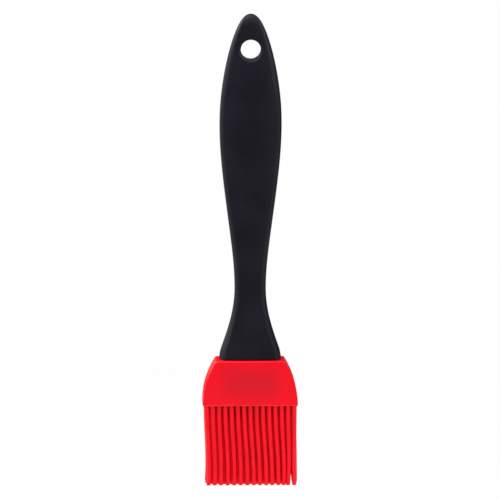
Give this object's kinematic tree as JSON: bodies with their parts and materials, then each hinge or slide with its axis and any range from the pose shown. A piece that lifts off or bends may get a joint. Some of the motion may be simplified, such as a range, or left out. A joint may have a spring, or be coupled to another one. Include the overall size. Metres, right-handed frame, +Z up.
{
  "type": "pastry brush",
  "caption": "Pastry brush: a black moulded handle with a hanging hole, a red silicone head that pulls off its tongue, and rows of silicone strands.",
  "frame": {"origin": "centre of the hanging hole, halfway through the handle's thickness", "axes": "+Z up the handle, away from the strands; +Y through the hanging hole, from the front to the back; X across the brush"},
  "size_m": [0.041, 0.0134, 0.205],
  "materials": {
    "handle_plastic": "black moulded plastic, satin",
    "head_silicone": "red silicone rubber, satin"
  },
  "bodies": {
    "handle": {"handle": "handle_plastic"},
    "head": {"brush_head": "head_silicone", "bristle_row_1": "head_silicone", "bristle_row_2": "head_silicone", "bristle_row_3": "head_silicone", "bristle_row_4": "head_silicone", "bristle_row_5": "head_silicone"}
  },
  "joints": [
    {"name": "head_pull", "type": "slide", "parent": "handle", "child": "head", "axis": [0, 0, -1], "range_m": [0, 0.015]}
  ]
}
